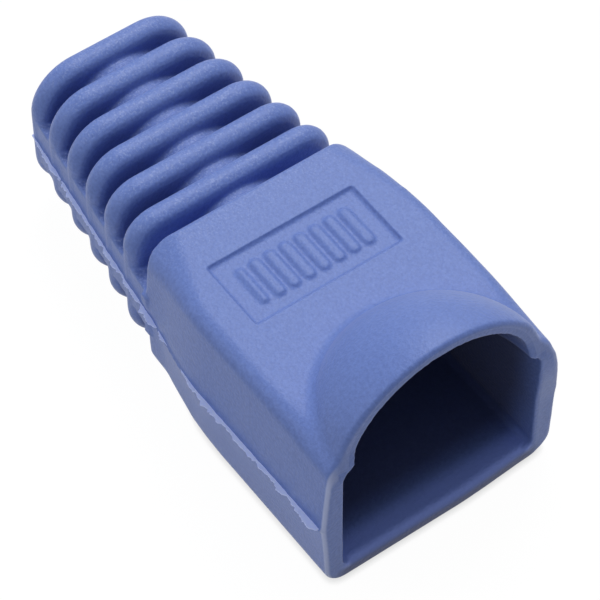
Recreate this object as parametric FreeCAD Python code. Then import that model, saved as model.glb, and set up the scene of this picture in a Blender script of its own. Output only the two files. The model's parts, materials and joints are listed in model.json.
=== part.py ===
import FreeCAD, Part
import math
import os

# Slip-on strain relief boot for a modular data plug, one soft moulding.
# Millimetres. +X points out of the plug opening, +Y across, +Z up.
# The flat underside lies on Z = 0 and the part is centred on X and Y.

# ---- what the boot has to fit -------------------------------------------
PLUG_WIDTH = 11.68            # standard eight-way modular plug body
PLUG_SIDE_CLEARANCE = 0.11
CABLE_DIAMETER = 5.5          # round twisted-pair patch cable
CABLE_CLEARANCE = 0.1

# ---- plug cavity --------------------------------------------------------
CAVITY_WIDTH = PLUG_WIDTH + 2 * PLUG_SIDE_CLEARANCE
CAVITY_HEIGHT = 7.83
CAVITY_DEPTH = 12.6
CAVITY_CORNER = 0.4
FLOOR_THICKNESS = 1.1
ROOF_THICKNESS = 1.15
FLOOR_LEAD_IN = 0.45
CAVITY_TOP = FLOOR_THICKNESS + CAVITY_HEIGHT

# ---- body ---------------------------------------------------------------
BODY_LENGTH = 15.85
BODY_HEIGHT = CAVITY_TOP + ROOF_THICKNESS
MOUTH_WALL = 1.15
SIDE_FLARE = 0.1              # how far each side runs out behind the mouth
REAR_NARROWING = 0.85         # how far each side comes in towards the ribs
TAPER_LENGTH = 4.7            # narrowing stretch in front of the ribs
BEND_LENGTH = 2.4             # where the sides turn inwards
TOP_DRAFT = 0.4               # how far each side leans in, parting line to top
BOTTOM_DRAFT = 0.25           # the same from the parting line to the underside
TOP_CORNER = 0.85
BOTTOM_CORNER = 1.1
REAR_EDGE_BREAK = 0.25
FRONT_EDGE_BREAK = 0.18
MOUTH_HALF = CAVITY_WIDTH / 2 + MOUTH_WALL
BODY_HALF = MOUTH_HALF + SIDE_FLARE
REAR_HALF = BODY_HALF - REAR_NARROWING

# ---- domed hood over the latch lever ------------------------------------
HOOD_STEP_IN = 0.51           # shoulder left beside the dome at the mouth
HOOD_WALL = 1.35
HOOD_CENTRE_DROP = 2.45       # dome centre below the top face
HOOD_BLEND = 0.6
HOOD_INNER_RISE = 4.65
HOOD_SPRING_RADIUS = 4.0      # side radius of the three-centred arch
HOOD_LIP_BREAK = 0.25
HOOD_RADIUS = MOUTH_HALF - HOOD_STEP_IN
HOOD_INNER_RADIUS = HOOD_RADIUS - HOOD_WALL

# ---- label recess -------------------------------------------------------
LABEL_LENGTH = 4.25
LABEL_WIDTH = 8.82
LABEL_DEPTH = 0.2
LABEL_OFF_CENTRE = -0.2
LABEL_SETBACK = 8.68          # front edge of the recess behind the mouth

# ---- cable passage ------------------------------------------------------
AXIS_HEIGHT = 4.95
BORE_RADIUS = CABLE_DIAMETER / 2 + CABLE_CLEARANCE
THROAT_RADIUS = 4.3
THROAT_LENGTH = 1.5

# ---- ribbed tail --------------------------------------------------------
RIB_COUNT = 6
RIB_THICKNESS = 1.41
RIB_GROOVE = 0.72
BODY_GROOVE = 1.22
RIB_STEP_IN = 0.16            # first rib inside the body's rear sides
RIB_NARROWING = 0.279         # each next rib, on each side
RIB_TOP_DROP = 0.73           # rib tops below the body's top face
RIB_BOTTOM_FIRST = 0.13
RIB_BOTTOM_STEP = 0.175
RIB_CORNER_FIRST = 1.9
RIB_CORNER_STEP = 0.17
RIB_BOTTOM_CORNER = 2.35
RIB_EDGE_ROUND = 0.6
CORE_WALL = 0.83
WEB_HALF_HEIGHT = 1.6
WEB_INSET = 0.04
CORE_RADIUS = BORE_RADIUS + CORE_WALL
RIB_PITCH = RIB_THICKNESS + RIB_GROOVE
RIB_TOP = BODY_HEIGHT - RIB_TOP_DROP

# ---- parting line -------------------------------------------------------
FLASH_WIDTH = 0.12
FLASH_THICKNESS = 0.12

TAIL_LENGTH = BODY_GROOVE + RIB_COUNT * RIB_THICKNESS + (RIB_COUNT - 1) * RIB_GROOVE
FRONT = (BODY_LENGTH + TAIL_LENGTH) / 2
BODY_REAR = FRONT - BODY_LENGTH
TAIL_END = BODY_REAR - TAIL_LENGTH
TAPER_START = BODY_REAR + TAPER_LENGTH


def side_edges(side, outset):
    """One side of the body in plan, from the rear to the mouth: taper, bend, flare."""
    rear = FreeCAD.Vector(BODY_REAR, side * (REAR_HALF + outset), 0)
    knee = FreeCAD.Vector(TAPER_START, side * (BODY_HALF + outset), 0)
    mouth = FreeCAD.Vector(FRONT, side * (MOUTH_HALF + outset), 0)
    back = (rear - knee).normalize()
    ahead = (mouth - knee).normalize()
    half_turn = (math.pi - back.getAngle(ahead)) / 2
    radius = BEND_LENGTH / 2 / math.tan(half_turn)
    inwards = (back + ahead).normalize()
    middle = knee + inwards * radius * (1 / math.cos(half_turn) - 1)
    start = knee + back * BEND_LENGTH / 2
    end = knee + ahead * BEND_LENGTH / 2
    taper = Part.makeLine(rear, start)
    bend = Part.Arc(start, middle, end).toShape()
    flare = Part.makeLine(end, mouth)
    return [taper, bend, flare]


def body_outline(outset, height):
    """Edges of the body in plan at one height, in turn around it."""
    near = side_edges(-1, outset)
    far = [edge.reversed() for edge in reversed(side_edges(1, outset))]
    mouth = Part.makeLine(near[-1].lastVertex(True).Point, far[0].firstVertex(True).Point)
    rear = Part.makeLine(far[-1].lastVertex(True).Point, near[0].firstVertex(True).Point)
    edges = near + [mouth] + far + [rear]
    for edge in edges:
        edge.translate(FreeCAD.Vector(0, 0, height))
    return edges


def wall(low_edge, high_edge):
    """Flat where both edges are straight, ruled round the bend."""
    if isinstance(low_edge.Curve, Part.Circle):
        return Part.makeRuledSurface(low_edge, high_edge)
    ends = [low_edge.Vertexes[0].Point, low_edge.Vertexes[-1].Point]
    over = [high_edge.Vertexes[0].Point, high_edge.Vertexes[-1].Point]
    return Part.Face(Part.makePolygon([ends[0], ends[1], over[1], over[0], ends[0]]))


def drafted_half(low_edges, high_edges):
    faces = [Part.Face(Part.Wire(low_edges)), Part.Face(Part.Wire(high_edges))]
    faces += [wall(a, b) for a, b in zip(low_edges, high_edges)]
    shell = Part.makeShell(faces)
    shell.sewShape()
    return Part.makeSolid(shell)


def body_block():
    """Two drafted halves that meet at the parting line."""
    under = body_outline(-BOTTOM_DRAFT, 0)
    middle = body_outline(0, AXIS_HEIGHT)
    over = body_outline(-TOP_DRAFT, BODY_HEIGHT)
    block = drafted_half(under, middle).fuse(drafted_half(middle, over)).removeSplitter()
    block = block.makeFillet(TOP_CORNER, long_edges(block, BODY_HEIGHT))
    block = block.makeFillet(BOTTOM_CORNER, long_edges(block, 0))
    rim = [e for e in block.Edges if lies_at(e, BODY_REAR)]
    return block.makeChamfer(REAR_EDGE_BREAK, rim)


def long_edges(block, height):
    """Edges of one flat face that run along the body, not across it."""
    found = []
    for edge in block.Edges:
        level = edge.BoundBox.ZLength < 1e-4 and abs(edge.CenterOfMass.z - height) < 1e-4
        if level and edge.BoundBox.XLength > 0.1:
            found.append(edge)
    return found


def lies_at(edge, x):
    """True for an edge that runs wholly in the plane X = x."""
    first, last = edge.ParameterRange
    points = [edge.valueAt(first + share * (last - first)) for share in (0, 0.5, 1)]
    return all(abs(point.x - x) < 1e-5 for point in points)


def hood_dome():
    """Rear half of a ball centred on the mouth, above mid body height."""
    centre = FreeCAD.Vector(FRONT, 0, BODY_HEIGHT - HOOD_CENTRE_DROP)
    ball = Part.makeSphere(HOOD_RADIUS, centre)
    reach = 2 * HOOD_RADIUS
    keep = Part.makeBox(reach, reach, reach)
    keep.translate(FreeCAD.Vector(FRONT - reach, -reach / 2, centre.z - 1))
    return ball.common(keep)


def blended_hood(block):
    """Join the dome to the body, soften the crease around its foot, break the rim."""
    joined = block.fuse(hood_dome()).removeSplitter()
    foot = [e for e in joined.Edges if is_hood_foot(e)]
    blended = joined.makeFillet(HOOD_BLEND, foot)
    rim = [e for e in blended.Edges if lies_at(e, FRONT)]
    return blended.makeChamfer(FRONT_EDGE_BREAK, rim)


def is_hood_foot(edge):
    centre = FreeCAD.Vector(FRONT, 0, BODY_HEIGHT - HOOD_CENTRE_DROP)
    if edge.CenterOfMass.x > FRONT - 0.01:
        return False
    first, last = edge.ParameterRange
    for share in (0.1, 0.5, 0.9):
        point = edge.valueAt(first + share * (last - first))
        if abs(point.distanceToPoint(centre) - HOOD_RADIUS) > 1e-4:
            return False
        if point.z > BODY_HEIGHT + 1e-4:
            return False
    return True


def hood_hollow():
    """Room for the latch lever: a three-centred arch spun about its middle."""
    side = HOOD_SPRING_RADIUS
    spread = HOOD_INNER_RADIUS - side
    rise = HOOD_INNER_RISE
    crown = (spread ** 2 + rise ** 2 - side ** 2) / (2 * (rise - side))
    lean = math.atan2(spread, crown - rise)
    spring = FreeCAD.Vector(HOOD_INNER_RADIUS, 0, 0)
    sides = FreeCAD.Vector(spread, 0, 0)
    half = (math.pi / 2 - lean) / 2
    haunch = sides + FreeCAD.Vector(math.cos(half), 0, math.sin(half)) * side
    join = sides + FreeCAD.Vector(math.sin(lean), 0, math.cos(lean)) * side
    centre = FreeCAD.Vector(0, 0, rise - crown)
    shoulder = centre + FreeCAD.Vector(math.sin(lean / 2), 0, math.cos(lean / 2)) * crown
    top = FreeCAD.Vector(0, 0, rise)
    low = FreeCAD.Vector(0, 0, -1)
    edges = [
        Part.makeLine(low, FreeCAD.Vector(HOOD_INNER_RADIUS, 0, -1)),
        Part.makeLine(FreeCAD.Vector(HOOD_INNER_RADIUS, 0, -1), spring),
        Part.Arc(spring, haunch, join).toShape(),
        Part.Arc(join, shoulder, top).toShape(),
        Part.makeLine(top, low),
    ]
    half_arch = Part.Face(Part.Wire(edges))
    hollow = half_arch.revolve(FreeCAD.Vector(0, 0, 0), FreeCAD.Vector(0, 0, 1), 360)
    hollow.translate(FreeCAD.Vector(FRONT, 0, CAVITY_TOP))
    return hollow


def plug_cavity():
    beyond = 2.0
    length = CAVITY_DEPTH + beyond
    box = Part.makeBox(length, CAVITY_WIDTH, CAVITY_HEIGHT)
    box.translate(FreeCAD.Vector(FRONT - CAVITY_DEPTH, -CAVITY_WIDTH / 2, FLOOR_THICKNESS))
    along = [e for e in box.Edges if abs(e.tangentAt(e.FirstParameter).x) > 0.99]
    return box.makeFillet(CAVITY_CORNER, along)


def lead_in():
    """Quarter-round run on the cavity floor at the mouth."""
    r = FLOOR_LEAD_IN
    block = Part.makeBox(r + 1, CAVITY_WIDTH - 2 * CAVITY_CORNER, r)
    block.translate(FreeCAD.Vector(FRONT - r, CAVITY_CORNER - CAVITY_WIDTH / 2, FLOOR_THICKNESS - r))
    rod = Part.makeCylinder(r, CAVITY_WIDTH, FreeCAD.Vector(0, 0, 0), FreeCAD.Vector(0, 1, 0))
    rod.translate(FreeCAD.Vector(FRONT - r, -CAVITY_WIDTH / 2, FLOOR_THICKNESS - r))
    return block.cut(rod)


def cable_passage():
    start = FRONT - CAVITY_DEPTH
    back = FreeCAD.Vector(-1, 0, 0)
    mouth = FreeCAD.Vector(start, 0, AXIS_HEIGHT)
    throat = Part.makeCone(THROAT_RADIUS, BORE_RADIUS, THROAT_LENGTH, mouth, back)
    collar = Part.makeCylinder(THROAT_RADIUS, 0.2, mouth, FreeCAD.Vector(1, 0, 0))
    bore = Part.makeCylinder(BORE_RADIUS, start - TAIL_END + 1, mouth, back)
    return bore.fuse(throat).fuse(collar)


def rib_half_width(index):
    return REAR_HALF - RIB_STEP_IN - index * RIB_NARROWING


def rib_outline(index):
    """Rounded rectangle across the tail, softer at the top towards the end."""
    half = rib_half_width(index)
    bottom = RIB_BOTTOM_FIRST + index * RIB_BOTTOM_STEP
    top_corner = RIB_CORNER_FIRST + index * RIB_CORNER_STEP
    corners = [
        (-90, 1, RIB_BOTTOM_CORNER),
        (0, 1, top_corner),
        (90, -1, top_corner),
        (180, -1, RIB_BOTTOM_CORNER),
    ]
    edges = []
    for turn, side, radius in corners:
        cy = side * (half - radius)
        cz = RIB_TOP - radius if turn in (0, 90) else bottom + radius
        arc = corner_arc(cy, cz, radius, turn)
        if edges:
            edges.append(Part.makeLine(edges[-1].Vertexes[-1].Point, arc.Vertexes[0].Point))
        edges.append(arc)
    edges.append(Part.makeLine(edges[-1].Vertexes[-1].Point, edges[0].Vertexes[0].Point))
    return Part.Wire(edges)


def corner_arc(cy, cz, radius, start):
    """Quarter circle across the boot, turning from +Y towards +Z."""
    points = []
    for turn in (0, 45, 90):
        angle = math.radians(start + turn)
        y = cy + radius * math.cos(angle)
        z = cz + radius * math.sin(angle)
        points.append(FreeCAD.Vector(0, y, z))
    return Part.Arc(*points).toShape()


def rib(index):
    """One flange of the strain relief, rounded at its edge in three steps."""
    front = BODY_REAR - BODY_GROOVE - index * RIB_PITCH
    plate = Part.Face(rib_outline(index)).extrude(FreeCAD.Vector(-RIB_THICKNESS, 0, 0))
    for share in (0.634, 0.28):
        rims = [e for e in plate.Edges if abs(e.BoundBox.XLength) < 1e-6]
        plate = plate.makeChamfer(share * RIB_EDGE_ROUND, rims)
    plate.translate(FreeCAD.Vector(front, 0, 0))
    return plate


def tail_half_width(x):
    """Width of the tail envelope, following the middles of the ribs."""
    first_middle = BODY_REAR - BODY_GROOVE - RIB_THICKNESS / 2
    return rib_half_width(0) - RIB_NARROWING / RIB_PITCH * (first_middle - x)


def side_web():
    """Mid-height strip that closes the grooves at both sides of the tail."""
    rear = TAIL_END + RIB_THICKNESS / 2
    front = BODY_REAR + 0.5
    rear_half = tail_half_width(rear) - WEB_INSET
    front_half = tail_half_width(front) - WEB_INSET
    low = AXIS_HEIGHT - WEB_HALF_HEIGHT
    plan = [
        FreeCAD.Vector(rear, -rear_half, low),
        FreeCAD.Vector(front, -front_half, low),
        FreeCAD.Vector(front, front_half, low),
        FreeCAD.Vector(rear, rear_half, low),
        FreeCAD.Vector(rear, -rear_half, low),
    ]
    face = Part.Face(Part.makePolygon(plan))
    return face.extrude(FreeCAD.Vector(0, 0, 2 * WEB_HALF_HEIGHT))


def tail():
    start = FreeCAD.Vector(BODY_REAR + 0.5, 0, AXIS_HEIGHT)
    length = start.x - TAIL_END - RIB_THICKNESS / 2
    core = Part.makeCylinder(CORE_RADIUS, length, start, FreeCAD.Vector(-1, 0, 0))
    ribs = [rib(i) for i in range(RIB_COUNT)]
    return core.multiFuse(ribs + [side_web()])


def flash_fin(side):
    """Thin fin that the mould halves leave along one side."""
    tail_end = TAIL_END + RIB_EDGE_ROUND
    rear = FreeCAD.Vector(tail_end, side * (tail_half_width(tail_end) + FLASH_WIDTH), 0)
    edges = side_edges(side, FLASH_WIDTH)
    foot = edges[0].Vertexes[0].Point
    mouth = edges[-1].Vertexes[-1].Point
    front = FreeCAD.Vector(FRONT - FRONT_EDGE_BREAK, mouth.y, 0)
    edges[-1] = Part.makeLine(edges[-1].Vertexes[0].Point, front)
    step = FreeCAD.Vector(BODY_REAR, side * (tail_half_width(BODY_REAR) + FLASH_WIDTH), 0)
    inside = [FreeCAD.Vector(front.x, side * (CAVITY_WIDTH / 2 + MOUTH_WALL / 2), 0)]
    inside.append(FreeCAD.Vector(BODY_REAR + 1, side * (tail_half_width(BODY_REAR) - 1), 0))
    inside.append(FreeCAD.Vector(tail_end, side * (tail_half_width(tail_end) - 1), 0))
    path = [front] + inside + [rear, step, foot]
    edges += [Part.makeLine(a, b) for a, b in zip(path, path[1:])]
    plan = Part.Face(Part.Wire(Part.__sortEdges__(edges)))
    fin = plan.extrude(FreeCAD.Vector(0, 0, FLASH_THICKNESS))
    fin.translate(FreeCAD.Vector(0, 0, AXIS_HEIGHT - FLASH_THICKNESS / 2))
    return fin


def label_recess():
    pocket = Part.makeBox(LABEL_LENGTH, LABEL_WIDTH, 2 * LABEL_DEPTH)
    side = LABEL_OFF_CENTRE - LABEL_WIDTH / 2
    rear = FRONT - LABEL_SETBACK - LABEL_LENGTH
    pocket.translate(FreeCAD.Vector(rear, side, BODY_HEIGHT - LABEL_DEPTH))
    return pocket


def is_ledge_lip(edge):
    """Arcs where the hood hollow opens into the flat cavity roof."""
    if edge.BoundBox.ZLength > 1e-4 or abs(edge.CenterOfMass.z - CAVITY_TOP) > 1e-4:
        return False
    reach = [math.hypot(v.X - FRONT, v.Y) for v in edge.Vertexes]
    return all(abs(r - HOOD_INNER_RADIUS) < 1e-3 for r in reach)


def strain_relief_boot():
    outside = blended_hood(body_block()).multiFuse([tail(), flash_fin(1), flash_fin(-1)])
    hollowed = outside.cut(plug_cavity()).cut(hood_hollow())
    lip = [e for e in hollowed.Edges if is_ledge_lip(e)]
    hollowed = hollowed.makeChamfer(HOOD_LIP_BREAK, lip)
    boot = hollowed.cut(cable_passage()).cut(lead_in()).cut(label_recess())
    return boot.removeSplitter().Solids[0]


os.makedirs("parts", exist_ok=True)
boot = strain_relief_boot()
boot.exportStep("parts/strain_relief_boot.step")
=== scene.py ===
import json
import math

import bpy
from mathutils import Matrix, Vector

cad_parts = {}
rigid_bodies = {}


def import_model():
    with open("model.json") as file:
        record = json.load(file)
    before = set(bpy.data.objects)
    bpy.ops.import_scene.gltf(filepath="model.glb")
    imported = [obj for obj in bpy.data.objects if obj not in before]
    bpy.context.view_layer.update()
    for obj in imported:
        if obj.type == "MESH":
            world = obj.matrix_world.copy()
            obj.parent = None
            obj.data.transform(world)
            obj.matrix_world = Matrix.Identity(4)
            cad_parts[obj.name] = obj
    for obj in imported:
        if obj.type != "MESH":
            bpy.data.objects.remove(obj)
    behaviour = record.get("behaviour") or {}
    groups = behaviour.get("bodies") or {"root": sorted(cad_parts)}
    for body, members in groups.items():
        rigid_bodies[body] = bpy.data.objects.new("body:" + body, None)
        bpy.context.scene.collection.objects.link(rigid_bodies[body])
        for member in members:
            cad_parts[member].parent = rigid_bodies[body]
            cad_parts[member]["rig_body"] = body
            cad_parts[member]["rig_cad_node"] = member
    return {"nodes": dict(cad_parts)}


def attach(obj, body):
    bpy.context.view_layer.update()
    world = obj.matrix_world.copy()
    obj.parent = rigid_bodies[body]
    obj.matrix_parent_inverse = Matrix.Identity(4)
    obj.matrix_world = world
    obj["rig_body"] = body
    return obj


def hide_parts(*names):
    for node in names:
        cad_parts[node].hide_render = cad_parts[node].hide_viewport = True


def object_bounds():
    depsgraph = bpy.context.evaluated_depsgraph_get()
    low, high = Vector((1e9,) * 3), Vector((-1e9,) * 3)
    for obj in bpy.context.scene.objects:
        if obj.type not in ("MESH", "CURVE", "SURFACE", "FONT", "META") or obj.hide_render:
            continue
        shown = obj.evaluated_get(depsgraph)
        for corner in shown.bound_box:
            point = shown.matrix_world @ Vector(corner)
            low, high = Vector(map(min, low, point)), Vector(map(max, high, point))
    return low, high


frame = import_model()
cad_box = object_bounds()
low, high = cad_box

MM = 0.001
NODE = "strain_relief_boot"

# Places on the boot, in metres: x runs from the tail to the mouth, and the underside is at z = 0.
MOUTH_X = high.x
TAIL_X = low.x
BODY_REAR_X = MOUTH_X - 15.85 * MM
TAPER_LENGTH = 4.7 * MM
KNEE_X = BODY_REAR_X + TAPER_LENGTH  # where the sides turn inwards
AXIS_Z = 4.95 * MM                   # cable axis and parting line
TOP_Z = 10.08 * MM
CAVITY_TOP_Z = 8.93 * MM
RECESS_X = MOUTH_X - 10.805 * MM     # middle of the label recess
RECESS_Y = -0.2 * MM
RECESS_DEPTH = 0.2 * MM

# From the middle out to the side, on the parting line unless it says where.
MOUTH_HALF = 7.1 * MM
KNEE_HALF = 7.2 * MM
REAR_HALF = 6.35 * MM                # body's rear end
REAR_TOP_HALF = 5.95 * MM            # the same end, beside the top face
REAR_FOOT_HALF = 6.1 * MM            # the same end, beside the underside
FIRST_RIB_HALF = 6.19 * MM           # rib next to the body
LAST_RIB_HALF = 4.79 * MM

# How fast the sides draw in: above and below the parting line, and towards the rear.
TOP_LEAN = (REAR_HALF - REAR_TOP_HALF) / (5.08 * MM)
FOOT_LEAN = (REAR_HALF - REAR_FOOT_HALF) / (5.0 * MM)
TAPER_SLOPE = (KNEE_HALF - REAR_HALF) / TAPER_LENGTH

# How far the soft part has warped. A row holds stations along the boot and the wall's move outwards
# at each, in mm.
LIP_STANDS_FORWARD = 0.26 * MM
SHOULDER_SAGS = 0.4 * MM
FAR_MOUTH_STANDS_OUT = 0.27 * MM
FAR_TOP_STANDS_OUT = ((-1.4, 0.1), (1.0, 0.0), (3.4, -0.2), (5.5, -0.14), (8.0, -0.1), (14.6, -0.1))
NEAR_TOP_STANDS_OUT = ((-1.4, 0.24), (1.2, 0.05), (3.4, 0.0), (14.6, 0.0))
NEAR_FOOT_STANDS_OUT = ((-1.4, 0.22), (0.6, -0.06), (3.4, -0.16), (6.0, -0.08), (14.6, -0.05))

# How strongly the fin on the parting line is drawn out: stations in mm, and the share of the full
# pull at each.
FIN_PULL = (
    (-14.2, 0.16), (-13.6, 0.30), (-12.0, 0.34), (-10.4, 0.30), (-9.0, 0.36), (-7.4, 0.30),
    (-6.0, 0.34), (-4.9, 0.38), (-4.2, 0.30), (-3.8, 0.14), (-3.3, 0.40), (-2.2, 0.34),
    (-1.7, 0.16), (-1.3, 0.42), (-0.4, 0.36), (0.1, 0.12), (0.6, 0.28), (1.1, 0.14),
    (1.7, 0.08), (3.4, 0.08), (4.1, 0.24), (5.2, 0.30), (6.2, 0.42), (7.0, 0.24),
    (7.3, 0.20), (7.9, 0.34), (9.4, 0.36), (10.4, 0.26), (11.0, 0.20), (11.5, 0.36),
    (12.2, 0.22), (13.0, 0.34), (13.9, 0.40), (14.4, 0.30),
)
PULL_BEYOND = 0.03                   # the share beyond both ends of the row
FULL_PULL = 0.76 * MM
FIN_ROOT = 0.12 * MM                 # width of the fin before it is drawn out
FIN_Z = AXIS_Z + 0.07 * MM
NEAR_FIN_STOPS_SHORT = 0.1 * MM      # of the mouth
FAR_FIN_STOPS_SHORT = 4.5 * MM

BAR_COUNT = 8
BAR_PITCH = 0.9 * MM
VOXEL = 0.08 * MM
MOST_TRIANGLES = 195000
SAME_POINT = 0.0004 * MM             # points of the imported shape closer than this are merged
TOUCH = 1e-7                         # room for rounding when places are compared


# ---------------------------------------------------------------- small tools

def linear(hex_colour):
    """sRGB hex to the linear values that shaders use."""
    values = []
    for i in (0, 2, 4):
        part = int(hex_colour[i:i + 2], 16) / 255
        values.append(part / 12.92 if part <= 0.04045 else ((part + 0.055) / 1.055) ** 2.4)
    return (*values, 1.0)


def node(tree, kind, inputs=None, **settings):
    """Adds a shader node with its settings, values and links; a node given means its first output."""
    made = tree.nodes.new("ShaderNode" + kind)
    for name, value in settings.items():
        setattr(made, name, value)
    for name, value in (inputs or {}).items():
        if isinstance(value, bpy.types.Node):
            value = value.outputs[0]
        if isinstance(value, bpy.types.NodeSocket):
            tree.links.new(value, made.inputs[name])
        else:
            made.inputs[name].default_value = value
    return made


def new_material(name):
    material = bpy.data.materials.new(name)
    material.use_nodes = True
    tree = material.node_tree
    tree.nodes.clear()
    return material, tree


def dress(piece, material):
    piece.data.materials.clear()
    piece.data.materials.append(material)


def deselect():
    for thing in bpy.context.selected_objects:
        thing.select_set(False)


def pick(*pieces):
    """Selects these pieces alone; the last one is the active one."""
    deselect()
    for piece in pieces:
        piece.select_set(True)
    bpy.context.view_layer.objects.active = pieces[-1]


def apply_modifier(piece, kind, settings):
    pick(piece)
    modifier = piece.modifiers.new(kind.lower(), kind)
    for name, value in settings.items():
        setattr(modifier, name, value)
    bpy.ops.object.modifier_apply(modifier=modifier.name)


def settle(piece):
    """Place, turn and size go into the mesh, so the object sits at the origin."""
    pick(piece)
    bpy.ops.object.transform_apply(location=True, rotation=True, scale=True)


def ease(share):
    return share * share * (3 - 2 * share)


def ramp(value, start, end):
    """0 at start, 1 at end, eased between."""
    return ease(min(1.0, max(0.0, (value - start) / (end - start))))


def between(stations, place, beyond=0.0):
    """The value at one place along a row of (place, value) stations, eased between them."""
    for (x0, value0), (x1, value1) in zip(stations, stations[1:]):
        if x0 <= place <= x1:
            return value0 + (value1 - value0) * ease((place - x0) / (x1 - x0))
    return beyond


# ---------------------------------------------------------------- camera

def look_from_above():
    """Long lens, from above the near front corner of the mouth."""
    azimuth = math.radians(54.41)
    elevation = math.radians(52.906)
    roll = math.radians(-0.342)
    target = Vector((2.789, 0.179, 5.0)) * MM
    distance = 164.914 * MM
    back = Vector((
        math.sin(azimuth) * math.cos(elevation),
        -math.cos(azimuth) * math.cos(elevation),
        math.sin(elevation),
    ))
    right = Vector((math.cos(azimuth), math.sin(azimuth), 0))
    up = back.cross(right)
    across = right * math.cos(roll) + up * math.sin(roll)
    upright = up * math.cos(roll) - right * math.sin(roll)
    data = bpy.data.cameras.new("camera")
    data.lens = 196.83
    data.sensor_width = 36
    data.clip_start = 0.01
    data.clip_end = 5
    camera = bpy.data.objects.new("camera", data)
    bpy.context.scene.collection.objects.link(camera)
    turn = Matrix((across, upright, back)).transposed().to_4x4()
    camera.matrix_world = Matrix.Translation(target + back * distance) @ turn
    bpy.context.scene.camera = camera


look_from_above()


# ---------------------------------------------------------------- moulded soft PVC

def eased_mask(tree, *steps):
    """The product of eased steps: each has a value, its start and end, and the mask's worth at both."""
    mask = None
    for value, start, end, at_start, at_end in steps:
        step = node(tree, "MapRange", {
            "Value": value, "From Min": start, "From Max": end, "To Min": at_start, "To Max": at_end,
        }, interpolation_type="SMOOTHSTEP")
        mask = step if mask is None else node(tree, "Math", {0: mask, 1: step}, operation="MULTIPLY")
    return mask


def eroded_grain(tree, place):
    """The tool's eroded grain is near 0.05 mm across, too fine to show, so it is drawn at 0.17 mm."""
    grain = node(tree, "TexNoise", {
        "Vector": place, "Scale": 1 / (0.17 * MM), "Detail": 2.0, "Roughness": 0.6})
    return node(tree, "MapRange", {"Value": grain, "From Min": 0.33, "From Max": 0.67})


def turning_marks(tree, along, place):
    """Fine rings that a lathe left on the round core between the ribs, 0.14 mm apart."""
    turns = node(tree, "Math", {0: along, 1: 2 * math.pi / (0.14 * MM)}, operation="MULTIPLY")
    rings = node(tree, "Math", {0: turns}, operation="SINE")
    flat = node(tree, "VectorMath", {0: place, 1: (0, 1, 1)}, operation="MULTIPLY")
    radius = node(tree, "VectorMath", {0: flat, 1: (0, 0, AXIS_Z)}, operation="DISTANCE")
    on_core = node(tree, "Math", {0: radius.outputs["Value"], 1: 3.75 * MM}, operation="LESS_THAN")
    on_tail = node(tree, "Math", {0: along, 1: BODY_REAR_X}, operation="LESS_THAN")
    rings = node(tree, "Math", {0: rings, 1: on_core}, operation="MULTIPLY")
    return node(tree, "Math", {0: rings, 1: on_tail}, operation="MULTIPLY")


def moulded_relief(tree, place, grain, rings):
    """Grain and rings, over the slow unevenness, about 5 mm across, of a part that has cooled freely."""
    fine = node(tree, "Math", {0: rings, 1: 0.3, 2: grain}, operation="MULTIPLY_ADD")
    sway = node(tree, "TexNoise", {
        "Vector": place, "Scale": 1 / (5 * MM), "Detail": 1.0, "Roughness": 0.4})
    close = node(tree, "Bump", {"Height": fine, "Strength": 0.8, "Distance": 0.014 * MM})
    return node(tree, "Bump", {
        "Height": sway, "Strength": 0.5, "Distance": 0.1 * MM, "Normal": close})


def hollow_of_boot(tree, place, axes):
    """1 on the walls of the plug's cavity and of the hood's hollow above it, 0 elsewhere.

    The cavity counts as a box and the hood's hollow as half an egg, each a little larger than life,
    so that the walls lie inside them.
    """
    hood_middle = (MOUTH_X, 0, CAVITY_TOP_Z)
    hood_radii = (5.6 * MM, 5.6 * MM, 5.0 * MM)
    offset = node(tree, "VectorMath", {0: place, 1: hood_middle}, operation="SUBTRACT")
    stretched = node(tree, "VectorMath", {0: offset, 1: hood_radii}, operation="DIVIDE")
    radius = node(tree, "VectorMath", {0: stretched}, operation="LENGTH")
    in_hood = node(tree, "Math", {0: radius.outputs["Value"], 1: 1.0}, operation="LESS_THAN")
    in_cavity = 1.0
    for axis, middle, half in (
            ("X", MOUTH_X, 14.5 * MM), ("Y", 0.0, 6.2 * MM), ("Z", 4.975 * MM, 4.125 * MM)):
        within = node(tree, "Math", {0: axes[axis], 1: middle, 2: half}, operation="COMPARE")
        in_cavity = node(tree, "Math", {0: in_cavity, 1: within}, operation="MULTIPLY")
    return node(tree, "Math", {0: in_hood, 1: in_cavity}, operation="MAXIMUM")


def painted_groove_shade(tree, colour):
    """Painted shade in the grooves and inner corners, darker where ambient occlusion finds them
    sheltered.
    """
    open_sky = node(tree, "AmbientOcclusion", {"Distance": 1.4 * MM}, samples=8)
    painted_shade_share = node(tree, "MapRange", {
        "Value": open_sky.outputs["AO"], "From Min": 0.85, "From Max": 0.3, "To Max": 0.5})
    return node(tree, "MixRGB", {"Fac": painted_shade_share, "Color1": colour, "Color2": linear("35458A")})


def shaded_hollow(tree, colour, hollow, ahead, z):
    """The hollow's walls sink into shade behind the mouth, sooner under the roof than on the floor."""
    sooner = node(tree, "MapRange", {
        "Value": z, "From Min": 1.2 * MM, "From Max": 4.5 * MM, "To Max": -0.7 * MM})
    behind = node(tree, "Math", {0: ahead, 1: sooner}, operation="ADD")
    depth = eased_mask(tree, (behind, -0.3 * MM, -2.8 * MM, 0.0, 0.78))
    shade = node(tree, "Math", {0: hollow, 1: depth}, operation="MULTIPLY")
    return node(tree, "MixRGB", {"Fac": shade, "Color1": colour, "Color2": linear("15102E")})


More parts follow.
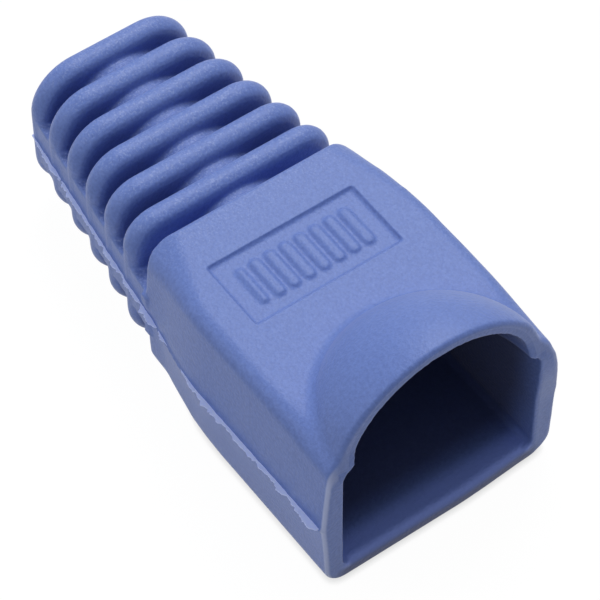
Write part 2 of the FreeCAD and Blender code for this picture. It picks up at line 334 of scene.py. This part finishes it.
def painted_light_on_floor_edge(tree, colour, ahead, aside, z):
    """Painted light on the cavity floor's leading edge, which is made paler than the floor behind it."""
    height = node(tree, "Math", {0: z, 1: 1.05 * MM}, operation="SUBTRACT")
    from_floor = node(tree, "Math", {0: height}, operation="ABSOLUTE")
    painted_light = eased_mask(
        tree,
        (ahead, -1.7 * MM, -0.6 * MM, 0.0, 0.7),
        (from_floor, 0.45 * MM, 0.25 * MM, 0.0, 1.0),
        (aside, 6.1 * MM, 5.6 * MM, 0.0, 1.0),
    )
    return node(tree, "MixRGB", {"Fac": painted_light, "Color1": colour, "Color2": linear("8FA8FF")})


def painted_mouth_edge_highlight(tree, colour, ahead, y, outside):
    """A painted highlight: a pale line about 0.3 mm wide round the mouth's outer edge, strongest on the
    near side.
    """
    middle = LIP_STANDS_FORWARD - 0.16 * MM
    offset = node(tree, "Math", {0: ahead, 1: middle}, operation="SUBTRACT")
    from_line = node(tree, "Math", {0: offset}, operation="ABSOLUTE")
    painted_light = eased_mask(
        tree,
        (from_line, 0.17 * MM, 0.05 * MM, 0.0, 0.85),
        (y, -6.0 * MM, -6.8 * MM, 0.2, 1.0),
    )
    painted_light = node(tree, "Math", {0: painted_light, 1: outside}, operation="MULTIPLY")
    return node(tree, "MixRGB", {"Fac": painted_light, "Color1": colour, "Color2": linear("BCC9F4")})


def dark_lower_lip(tree, colour, ahead, aside, z):
    """The lower lip's face turns away from the light and reads darker than the rest of the mouth."""
    lip = eased_mask(
        tree,
        (z, 1.1 * MM, 0.5 * MM, 0.0, 0.85),
        (ahead, -0.4 * MM, 0.0, 0.0, 1.0),
        (aside, 6.7 * MM, 5.6 * MM, 0.0, 1.0),
    )
    return node(tree, "MixRGB", {"Fac": lip, "Color1": colour, "Color2": linear("243268")})


def painted_glints_among_ribs(tree, colour, place, along, outside):
    """Painted glints: pale specks 0.1 mm across on the grain, densest on what faces up among the ribs.
    """
    glint_noise = node(tree, "TexNoise", {
        "Vector": place, "Scale": 1 / (0.1 * MM), "Detail": 1.0, "Roughness": 0.5})
    normal = node(tree, "NewGeometry").outputs["Normal"]
    upward = node(tree, "SeparateXYZ", {0: normal}).outputs["Z"]
    specks = eased_mask(
        tree,
        (glint_noise, 0.5, 0.72, 0.0, 1.0),
        (upward, 0.55, 0.95, 0.0, 1.0),
        (along, BODY_REAR_X + 3 * MM, BODY_REAR_X - 1 * MM, 0.08, 0.3),
    )
    specks = node(tree, "Math", {0: specks, 1: outside}, operation="MULTIPLY")
    return node(tree, "MixRGB", {"Fac": specks, "Color1": colour, "Color2": linear("B4C4F2")})


def moulded_soft_pvc():
    """Pigmented soft PVC, moulded in a spark-eroded tool: matt, with a fine even grain."""
    material, tree = new_material("moulded_soft_pvc")
    place = node(tree, "TexCoord").outputs["Object"]
    axes = node(tree, "SeparateXYZ", {0: place}).outputs
    x, y, z = axes
    ahead = node(tree, "Math", {0: x, 1: MOUTH_X}, operation="SUBTRACT")
    aside = node(tree, "Math", {0: y}, operation="ABSOLUTE")
    hollow = hollow_of_boot(tree, place, axes)
    outside = node(tree, "Math", {0: 1.0, 1: hollow}, operation="SUBTRACT")
    grain = eroded_grain(tree, place)
    colour = node(tree, "MixRGB", {
        "Fac": grain, "Color1": linear("617BC4"), "Color2": linear("6D88D2")})
    colour = painted_groove_shade(tree, colour)
    colour = shaded_hollow(tree, colour, hollow, ahead, z)
    colour = painted_light_on_floor_edge(tree, colour, ahead, aside, z)
    colour = painted_mouth_edge_highlight(tree, colour, ahead, y, outside)
    colour = dark_lower_lip(tree, colour, ahead, aside, z)
    colour = painted_glints_among_ribs(tree, colour, place, x, outside)
    relief = moulded_relief(tree, place, grain, turning_marks(tree, x, place))
    shader = node(tree, "BsdfPrincipled", {
        "Base Color": colour, "Roughness": 0.5, "IOR": 1.5,
        "Sheen Weight": 0.3, "Sheen Roughness": 0.35, "Normal": relief})
    node(tree, "OutputMaterial", {"Surface": shader})
    return material


# ---------------------------------------------------------------- torn soft PVC

def torn_soft_pvc():
    """The same PVC squeezed out thin and torn: light comes through it, so it looks paler.

    The faint glow stands for the light that the thin film lets through. The fibres that a tear
    leaves are about 0.3 mm across.
    """
    material, tree = new_material("torn_soft_pvc")
    place = node(tree, "TexCoord").outputs["Object"]
    fibres = node(tree, "TexNoise", {
        "Vector": place, "Scale": 1 / (0.3 * MM), "Detail": 3.0, "Roughness": 0.7})
    relief = node(tree, "Bump", {"Height": fibres, "Strength": 0.5, "Distance": 0.03 * MM})
    colour = node(tree, "MixRGB", {
        "Fac": fibres, "Color1": linear("BCCAFF"), "Color2": linear("DCE5FF")})
    shader = node(tree, "BsdfPrincipled", {
        "Base Color": colour, "Roughness": 0.55, "IOR": 1.5,
        "Emission Color": linear("A4BAF5"), "Emission Strength": 0.15, "Normal": relief})
    node(tree, "OutputMaterial", {"Surface": shader})
    return material


PVC = moulded_soft_pvc()
TORN_PVC = torn_soft_pvc()


# ---------------------------------------------------------------- the boot

def copy_of_packed_shape():
    pick(frame["nodes"][NODE])
    bpy.ops.object.duplicate()
    piece = bpy.context.view_layer.objects.active
    piece.parent = None
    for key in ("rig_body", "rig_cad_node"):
        if key in piece:
            del piece[key]
    piece.name = "boot_moulding"
    piece.data.name = "boot_moulding"
    bpy.ops.object.mode_set(mode="EDIT")
    bpy.ops.mesh.select_all(action="SELECT")
    bpy.ops.mesh.remove_doubles(threshold=SAME_POINT)
    bpy.ops.object.mode_set(mode="OBJECT")
    return piece


def wire_bar(y, rounded_all_over):
    """A raised bar in the label recess, with its four upright edges rounded or all twelve."""
    width = 0.5 * MM
    length = 2.5 * MM
    rise = 0.16 * MM
    root = 0.3 * MM
    z = TOP_Z - RECESS_DEPTH + (rise - root) / 2
    deselect()
    bpy.ops.mesh.primitive_cube_add(size=1, location=(RECESS_X, y, z))
    bar = bpy.context.view_layer.objects.active
    bar.scale = (length, width, rise + root)
    settle(bar)
    bpy.ops.object.mode_set(mode="EDIT")
    bpy.ops.mesh.select_mode(type="EDGE")
    bpy.ops.mesh.select_all(action="DESELECT")
    bpy.ops.object.mode_set(mode="OBJECT")
    for edge in bar.data.edges:
        ends = [bar.data.vertices[i].co for i in edge.vertices]
        upright = abs(ends[0].z - ends[1].z) > rise
        edge.select = upright or rounded_all_over
    bpy.ops.object.mode_set(mode="EDIT")
    bpy.ops.mesh.bevel(offset=width * 0.45, segments=6, affect="EDGES")
    bpy.ops.object.mode_set(mode="OBJECT")
    return bar


def wire_bars():
    """Eight raised bars, one for each wire of the cable; the nearest came out softer than the rest."""
    y = RECESS_Y - (BAR_COUNT - 1) / 2 * BAR_PITCH
    bars = [wire_bar(y, True), wire_bar(y + BAR_PITCH, False)]
    while len(bars) < BAR_COUNT:
        bpy.ops.object.duplicate()
        bpy.ops.transform.translate(value=(0, BAR_PITCH, 0))
        bars.append(bpy.context.view_layer.objects.active)
    return bars


def ease_long_corners(piece, upper, half, lean, rear_radius, bend_radius):
    """Rounds the body's two upper or lower long corners, most at the rear and least at the bend."""
    start = BODY_REAR_X - 0.05 * MM
    length = 4.4 * MM
    for vertex in piece.data.vertices:
        x, y, z = vertex.co
        share = (x - start) / length
        if not 0 <= share < 1 or (z > AXIS_Z) != upper:
            continue
        depth = TOP_Z - z if upper else z
        radius = rear_radius + (bend_radius - rear_radius) * share
        middle = half + (x - BODY_REAR_X) * TAPER_SLOPE - radius
        out = abs(y) - depth * lean - middle
        beyond = radius - depth
        reach = math.hypot(out, beyond)
        if out > 0 and beyond > 0 and reach > radius:
            depth = radius - beyond * radius / reach
            vertex.co.y = math.copysign(middle + out * radius / reach + depth * lean, y)
            vertex.co.z = TOP_Z - depth if upper else depth


def ease_rear_foot(piece):
    """The body's foot is rounded where its underside meets its rear face."""
    radius = 1.5 * MM
    for vertex in piece.data.vertices:
        x, y, z = vertex.co
        behind = BODY_REAR_X + radius - x
        under = radius - z
        if not (0 < behind < radius + 0.05 * MM and under > 0):
            continue
        reach = math.hypot(behind, under)
        if reach > radius:
            share = ramp(abs(y), 3.0 * MM, 4.2 * MM) * (1 - radius / reach)
            vertex.co.x += behind * share
            vertex.co.z += under * share


def near_wall_stands_out(x, z):
    """The near wall leans out at its rear, and its foot leans in from the bend on."""
    foot = between(NEAR_FOOT_STANDS_OUT, x / MM) * ramp(z, 5.4 * MM, 2.6 * MM)
    top = between(NEAR_TOP_STANDS_OUT, x / MM) * ramp(z, 4.9 * MM, 6.0 * MM)
    return (foot + top) * MM


def far_wall_stands_out(x, z):
    """The far wall's top leans in, most of all at the bend."""
    return between(FAR_TOP_STANDS_OUT, x / MM) * MM * ramp(z, 6.0 * MM, 9.0 * MM)


def far_wall_bulge(x, y, z):
    """The far wall bulges at the mouth, most at its foot."""
    near_mouth = ramp(x, MOUTH_X - 7 * MM, MOUTH_X - 0.5 * MM)
    outer_skin = ramp(y, 6.3 * MM, 7.0 * MM)
    foot = 1 + 0.3 * ramp(z, 4.5 * MM, 1.0 * MM)
    return FAR_MOUTH_STANDS_OUT * outer_skin * near_mouth * foot * ramp(z, 9.9 * MM, 8.2 * MM)


def warp_walls(piece):
    """A soft moulding is never quite true: its sides lean and bulge."""
    for vertex in piece.data.vertices:
        x, y, z = vertex.co
        if x < BODY_REAR_X - 0.1 * MM or abs(y) < 5.2 * MM:
            continue
        skirt = ramp(abs(y), 5.2 * MM, 6.2 * MM)
        if y < 0:
            vertex.co.y -= near_wall_stands_out(x, z) * skirt
        else:
            vertex.co.y += far_wall_stands_out(x, z) * skirt + far_wall_bulge(x, y, z)


def warp_mouth(piece):
    """The mouth's lip runs a little forward, and its two shoulders sag beside the hood."""
    for vertex in piece.data.vertices:
        x, y, z = vertex.co
        near_mouth = ramp(x, MOUTH_X - 5 * MM, MOUTH_X)
        if not near_mouth:
            continue
        below_hood = ramp(z, 10.3 * MM, 8.6 * MM)
        off_far_foot = max(ramp(y, 7 * MM, 1 * MM), ramp(z, 4 * MM, 8 * MM))
        vertex.co.x += LIP_STANDS_FORWARD * near_mouth * below_hood * off_far_foot
        shoulder = ramp(abs(y), 5.4 * MM, 6.6 * MM) * ramp(z, 7 * MM, 9.3 * MM)
        vertex.co.z -= SHOULDER_SAGS * near_mouth * shoulder


def boot_moulding():
    """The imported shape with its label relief, given the soft edges of a flexible moulding."""
    piece = copy_of_packed_shape()
    pick(*wire_bars(), piece)
    bpy.ops.object.join()
    apply_modifier(piece, "REMESH", {"mode": "VOXEL", "voxel_size": VOXEL})
    ease_long_corners(
        piece, upper=True, half=REAR_TOP_HALF, lean=TOP_LEAN,
        rear_radius=1.75 * MM, bend_radius=0.9 * MM)
    ease_long_corners(
        piece, upper=False, half=REAR_FOOT_HALF, lean=FOOT_LEAN,
        rear_radius=2.05 * MM, bend_radius=1.15 * MM)
    ease_rear_foot(piece)
    warp_walls(piece)
    warp_mouth(piece)
    apply_modifier(piece, "REMESH", {"mode": "VOXEL", "voxel_size": VOXEL})
    apply_modifier(piece, "SMOOTH", {"factor": 0.5, "iterations": 3})
    triangles = sum(len(face.vertices) - 2 for face in piece.data.polygons)
    apply_modifier(piece, "DECIMATE", {"ratio": MOST_TRIANGLES / triangles})
    bpy.ops.object.shade_smooth()
    dress(piece, PVC)
    return piece


# ---------------------------------------------------------------- flash on the parting line

def side_path(side):
    """Corners of the parting line in plan, from the tail's end to the fin's end near the mouth."""
    inside = 0.1 * MM
    end = MOUTH_X - (NEAR_FIN_STOPS_SHORT if side < 0 else FAR_FIN_STOPS_SHORT)
    corners = (
        (TAIL_X + 0.5 * MM, LAST_RIB_HALF - 0.1 * MM),
        (BODY_REAR_X - 0.02 * MM, FIRST_RIB_HALF + 0.21 * MM),
        (BODY_REAR_X + 0.2 * MM, REAR_HALF + 0.02 * MM),
        (KNEE_X - 1.2 * MM, REAR_HALF + 0.52 * MM),
        (KNEE_X - 0.4 * MM, KNEE_HALF - 0.075 * MM),
        (KNEE_X + 0.4 * MM, KNEE_HALF - 0.025 * MM),
        (KNEE_X + 1.2 * MM, KNEE_HALF - 0.01 * MM),
        (end, MOUTH_HALF),
    )
    return [(x, y - inside) for x, y in corners]


def side_at(path, place):
    """How far out the path runs at one place along the boot."""
    for (x0, y0), (x1, y1) in zip(path, path[1:]):
        if x0 <= place <= x1:
            return y0 + (y1 - y0) * (place - x0) / (x1 - x0)
    return path[0][1]


def plain_fin(side, path, name):
    """Narrow flat strip along one side, drawn out from a small square corner by corner."""
    x, y = path[0]
    deselect()
    bpy.ops.mesh.primitive_plane_add(
        size=FIN_ROOT, location=(x - FIN_ROOT / 2, side * (y + FIN_ROOT / 2), FIN_Z))
    fin = bpy.context.view_layer.objects.active
    fin.name = name
    fin.data.name = name
    settle(fin)
    front = max(vertex.co.x for vertex in fin.data.vertices) - TOUCH
    for face in fin.data.polygons:
        face.select = False
    for edge in fin.data.edges:
        edge.select = all(fin.data.vertices[i].co.x > front for i in edge.vertices)
    for vertex in fin.data.vertices:
        vertex.select = vertex.co.x > front
    bpy.ops.object.mode_set(mode="EDIT")
    bpy.ops.mesh.select_mode(type="EDGE")
    for (x0, y0), (x1, y1) in zip(path, path[1:]):
        step = (x1 - x0, side * (y1 - y0), 0)
        bpy.ops.mesh.extrude_region_move(TRANSFORM_OT_translate={"value": step})
    bpy.ops.object.mode_set(mode="OBJECT")
    return fin


def cut_fine(fin, step):
    """Halves every edge that runs further along the boot than one step, until none does."""
    most_rounds = 12
    for _ in range(most_rounds):
        long_edges = 0
        for vertex in fin.data.vertices:
            vertex.select = False
        for face in fin.data.polygons:
            face.select = False
        for edge in fin.data.edges:
            a, b = [fin.data.vertices[i].co for i in edge.vertices]
            edge.select = abs(a.x - b.x) > step
            long_edges += edge.select
        if not long_edges:
            return
        bpy.ops.object.mode_set(mode="EDIT")
        bpy.ops.mesh.select_mode(type="EDGE")
        bpy.ops.mesh.subdivide(number_cuts=1)
        bpy.ops.object.mode_set(mode="OBJECT")


def weigh_outer_edge(fin, path, shift):
    """Gives the strip's outer edge its pull, station by station; shift moves the stations, in mm."""
    outer = fin.vertex_groups.new(name="outer")
    for vertex in fin.data.vertices:
        if abs(vertex.co.y) > side_at(path, vertex.co.x) + FIN_ROOT / 2:
            pull = between(FIN_PULL, vertex.co.x / MM + shift, PULL_BEYOND)
            outer.add([vertex.index], pull, "REPLACE")


def torn_shape(name, size):
    texture = bpy.data.textures.new(name, "CLOUDS")
    texture.noise_scale = size
    texture.noise_depth = 3
    return texture


def ragged_flash(side, name, shift):
    """Thin fin along one side, drawn out unevenly and torn at its edge."""
    path = side_path(side)
    fin = plain_fin(side, path, name)
    pick(fin)
    cut_fine(fin, 0.09 * MM)
    weigh_outer_edge(fin, path, shift)
    apply_modifier(fin, "DISPLACE", {
        "direction": "Y", "strength": side * FULL_PULL, "mid_level": 0.0, "vertex_group": "outer"})
    coarse = torn_shape(name + "_coarse", 0.55 * MM)
    fine = torn_shape(name + "_fine", 0.16 * MM)
    for texture, direction, strength, middle in (
            (coarse, "Y", side * 1.2 * MM, 0.5),
            (fine, "Y", side * 0.7 * MM, 0.5),
            (coarse, "Z", 0.5 * MM, 0.6)):
        apply_modifier(fin, "DISPLACE", {
            "texture": texture, "texture_coords": "LOCAL", "direction": direction,
            "strength": strength, "mid_level": middle, "vertex_group": "outer"})
    apply_modifier(fin, "SOLIDIFY", {"thickness": 0.07 * MM, "offset": 0.0})
    bpy.ops.object.shade_smooth_by_angle(angle=math.radians(50))
    dress(fin, TORN_PVC)
    return fin


boot = boot_moulding()
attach(boot, "root")
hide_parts(NODE)

for side, name, shift in ((-1, "flash_near_side", 0.0), (1, "flash_far_side", 0.7)):
    fin = ragged_flash(side, name, shift)
    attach(fin, "root")


# ---------------------------------------------------------------- studio

def white_light_table():
    """White acrylic lit from below: plain white to the eye, with a painted contact shadow that greys it
    a little close to what lies on it.
    """
    material, tree = new_material("white_light_table")
    path = node(tree, "LightPath").outputs
    shown = node(tree, "Math", {
        0: path["Is Camera Ray"], 1: path["Is Glossy Ray"]}, operation="MAXIMUM")
    # Painted shadow: the table's glow is dimmed where ambient occlusion finds the boot close by.
    open_sky = node(tree, "AmbientOcclusion", {"Distance": 0.5 * MM}, samples=8)
    glow = node(tree, "MapRange", {
        "Value": open_sky.outputs["AO"],
        "From Min": 0.4, "From Max": 0.85, "To Min": 0.72, "To Max": 0.975})
    lit = node(tree, "Emission", {"Color": (1, 1, 1, 1), "Strength": glow})
    seen = node(tree, "BsdfDiffuse", {"Color": (0.05, 0.05, 0.05, 1)})
    seen = node(tree, "AddShader", {0: seen, 1: lit})
    soft = node(tree, "BsdfDiffuse", {"Color": (0.6, 0.6, 0.6, 1)})
    surface = node(tree, "MixShader", {0: shown, 1: soft, 2: seen})
    node(tree, "OutputMaterial", {"Surface": surface})
    return material


def floor():
    deselect()
    bpy.ops.mesh.primitive_plane_add(size=1.2, location=(0, 0, low.z))
    piece = bpy.context.view_layer.objects.active
    piece.name = "floor"
    dress(piece, white_light_table())


def white_room():
    """A dim white room that looks plain white where it is seen, or seen in or through a surface."""
    world = bpy.data.worlds.new("studio")
    bpy.context.scene.world = world
    world.use_nodes = True
    tree = world.node_tree
    tree.nodes.clear()
    path = node(tree, "LightPath").outputs
    shown = path["Is Camera Ray"]
    for other in ("Is Glossy Ray", "Is Transmission Ray"):
        shown = node(tree, "Math", {0: shown, 1: path[other]}, operation="MAXIMUM")
    soft = node(tree, "Background", {"Color": (1, 1, 1, 1), "Strength": 0.28})
    white = node(tree, "Background", {"Color": (1, 1, 1, 1), "Strength": 1.0})
    surface = node(tree, "MixShader", {0: shown, 1: soft, 2: white})
    node(tree, "OutputWorld", {"Surface": surface})


def area_lamp(name, place, size, power):
    """Square softbox that points at the middle of the boot."""
    aim = Vector((0, 0, 0.005))
    data = bpy.data.lights.new(name, "AREA")
    data.shape = "SQUARE"
    data.size = size
    data.energy = power
    lamp = bpy.data.objects.new(name, data)
    bpy.context.scene.collection.objects.link(lamp)
    turn = (aim - Vector(place)).to_track_quat("-Z", "Y").to_matrix().to_4x4()
    lamp.matrix_world = Matrix.Translation(Vector(place)) @ turn


floor()
white_room()
area_lamp("rear_softbox", (-0.15, 0.15, 0.33), 0.2, 0.85)
area_lamp("left_fill", (-0.12, -0.30, 0.22), 0.25, 0.24)
bpy.context.scene.view_settings.view_transform = "Standard"
